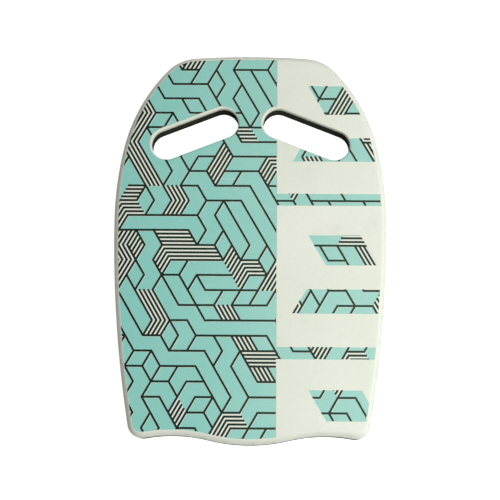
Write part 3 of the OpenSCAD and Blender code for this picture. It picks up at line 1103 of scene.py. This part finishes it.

# %% [markdown]
# Face foam: off-white with a breath of green, matt like suede. Its skin shows cells under a millimetre
# across. It greys where fingers and pool walls touch it, most of all round the rim, and there its
# greenish grey is also painted shade on the rim's slope.

# %% Face foam
def face_foam():
    """Tones laid over a drifting off-white, with cells as bumps and scuffs that press them flat."""
    f = Finish("face_foam", cells_per_metre=1500.0)
    f.shader.inputs["Specular IOR Level"].default_value = 0.15
    colour = f.tones(f.drift["Broad"], srgb(232, 235, 222), srgb(226, 230, 215))
    colour = f.coats(colour, [
        (f.drift["Fine"], 0.25, srgb(216, 220, 205)),
        (f.cells["Tone"], 0.12, srgb(244, 246, 236)),
        (f.handling["Smudge"], 0.22, srgb(188, 190, 176)),
        # Edge wear, and also painted shade: its green-grey tint stands in for the shaded rim's colour.
        (f.wear, 0.30, srgb(180, 188, 166)),
    ])
    roughness = f.weighed(0.66, [(f.drift["Fine"], 0.12), (f.handling["Smudge"], -0.10), (f.wear, 0.1)])
    height = f.weighed(f.cells["Height"], [(f.drift["Fine"], 1.4), (f.handling["Scuff"], -0.8)])
    return f.finish(colour, roughness, height, depth=0.00004)


wear_out(face, face_foam())

# %% [markdown]
# Core foam: black with a warm green cast, and coarser. On its back it has a skin. On its walls the knife
# has opened the cells, so they are rougher, a little greyer, and streaked from top to bottom. Noise
# stretched upright makes the streaks, and the edge share says where the walls are.

# %% Core foam
def core_foam():
    """Tones laid over a drifting black, with streaks and opened cells only where the foam was cut."""
    f = Finish("core_foam", cells_per_metre=1100.0)
    f.shader.inputs["Specular IOR Level"].default_value = 0.11
    upright = add(f.tree, "ShaderNodeMapping", {"Scale": (420.0, 420.0, 26.0)}, {"Vector": f.place})
    cut = between(f.tree, f.edge, 0.7, 1.0)
    streaks = between(f.tree, noise(f.tree, upright.outputs["Vector"], 1.0, 3.0), 0.35, 0.7)
    streaks, opened = (maths(f.tree, "MULTIPLY", mask, cut) for mask in (streaks, f.cells["Tone"]))
    colour = f.tones(f.drift["Broad"], srgb(26, 32, 18), srgb(20, 26, 13))
    colour = f.coats(colour, [
        (f.drift["Fine"], 0.5, srgb(33, 39, 25)),
        (opened, 0.4, srgb(49, 54, 40)),
        (streaks, 0.35, srgb(41, 46, 33)),
        (f.handling["Smudge"], 0.25, srgb(70, 71, 62)),
        (f.wear, 0.22, srgb(84, 85, 74)),
    ])
    roughness = f.weighed(0.74, [(f.drift["Fine"], 0.14), (cut, 0.12), (f.handling["Scuff"], -0.1)])
    height = f.weighed(f.cells["Height"], [(f.drift["Fine"], 1.2), (streaks, 1.6)])
    return f.finish(colour, roughness, height, depth=0.00007)


wear_out(core, core_foam())

# %% [markdown]
# Glue: contact adhesive dries to a yellowish rubber, smooth, with small bubbles and a few dark flecks.

# %% Glue
def contact_glue():
    """A drifting yellow that greys where it is worn, with bubbles as bumps."""
    f = Finish("contact_glue", cells_per_metre=700.0)
    colour = f.tones(f.drift["Broad"], srgb(206, 196, 158), srgb(186, 172, 128))
    colour = f.coats(colour, [(f.drift["Fine"], 0.5, srgb(160, 148, 110)), (f.wear, 0.4, srgb(96, 90, 70))])
    roughness = f.weighed(0.34, [(f.cells["Tone"], 0.2)])
    return f.finish(colour, roughness, f.weighed(f.cells["Height"], [(f.drift["Fine"], 1.0)]), depth=0.00005)


wear_out(glue, contact_glue())

# %% [markdown]
# Inks: screen ink on foam. It fills the finest cells, so it is smoother than bare foam and takes a soft
# shine, but the cells still telegraph through. Both tones go lighter from left to right: painted light, the
# fall of the right-hand lamp and its glare on the ink. Tones drift, tiny pinholes let the foam show, and
# scuffs rub the ink lighter. Both inks share one recipe with different colours.

# %% Inks
def screen_ink(name, shaded_left_tone, lit_right_tone, rubbed, shine, gloss, rub_share):
    """The painted shaded tone at the left and the painted lit tone at the right, the tone where it is
    rubbed, the lowest roughness, how much it mirrors, and how far rubbing shows."""
    f = Finish(name, cells_per_metre=1500.0)
    f.shader.inputs["Specular IOR Level"].default_value = gloss
    across = add(f.tree, "ShaderNodeSeparateXYZ", links={"Vector": f.place}).outputs["X"]
    # painted light: the tone goes lighter towards the right, as the right-hand lamp's fall and glare would
    # make it
    painted_light_across = between(f.tree, across, -WIDTH / 2 * MM, WIDTH / 2 * MM)
    pinholes = add(f.tree, "ShaderNodeTexVoronoi", {"Scale": 420.0}, {"Vector": f.place})
    holes = between(f.tree, pinholes.outputs["Distance"], 0.12, 0.07)
    some = add(f.tree, "ShaderNodeSeparateColor", links={"Color": pinholes.outputs["Color"]})
    holes = maths(f.tree, "MULTIPLY", holes, between(f.tree, some.outputs["Green"], 0.80, 0.86))
    colour = f.coats(f.tones(painted_light_across, shaded_left_tone, lit_right_tone), [
        (f.drift["Broad"], 0.12, rubbed),
        (f.drift["Fine"], 0.08, rubbed),
        (f.cells["Tone"], 0.08, rubbed),
        (f.handling["Scuff"], rub_share, rubbed),
        (f.handling["Smudge"], rub_share * 0.3, rubbed),
        (holes, 0.7, srgb(228, 232, 218)),
    ])
    roughness = f.weighed(shine, [
        (f.drift["Fine"], 0.10), (f.handling["Smudge"], 0.12), (f.handling["Scuff"], 0.2), (holes, 0.2),
    ])
    height = f.weighed(f.cells["Height"], [(f.drift["Fine"], 1.6), (holes, -1.2)])
    return f.finish(colour, roughness, height, depth=0.000022)


# The left tones are painted shade, and the right tones are painted light and glare from the right-hand lamp.
turquoise = screen_ink(
    "turquoise_ink", srgb(134, 205, 193), srgb(152, 206, 192), srgb(186, 224, 212), 0.42, 0.34, 0.5
)
black = screen_ink("black_ink", srgb(0, 26, 17), srgb(35, 58, 46), srgb(72, 88, 78), 0.46, 0.12, 0.35)
wear_out(colour_film, turquoise)
wear_out(lines_film, black)
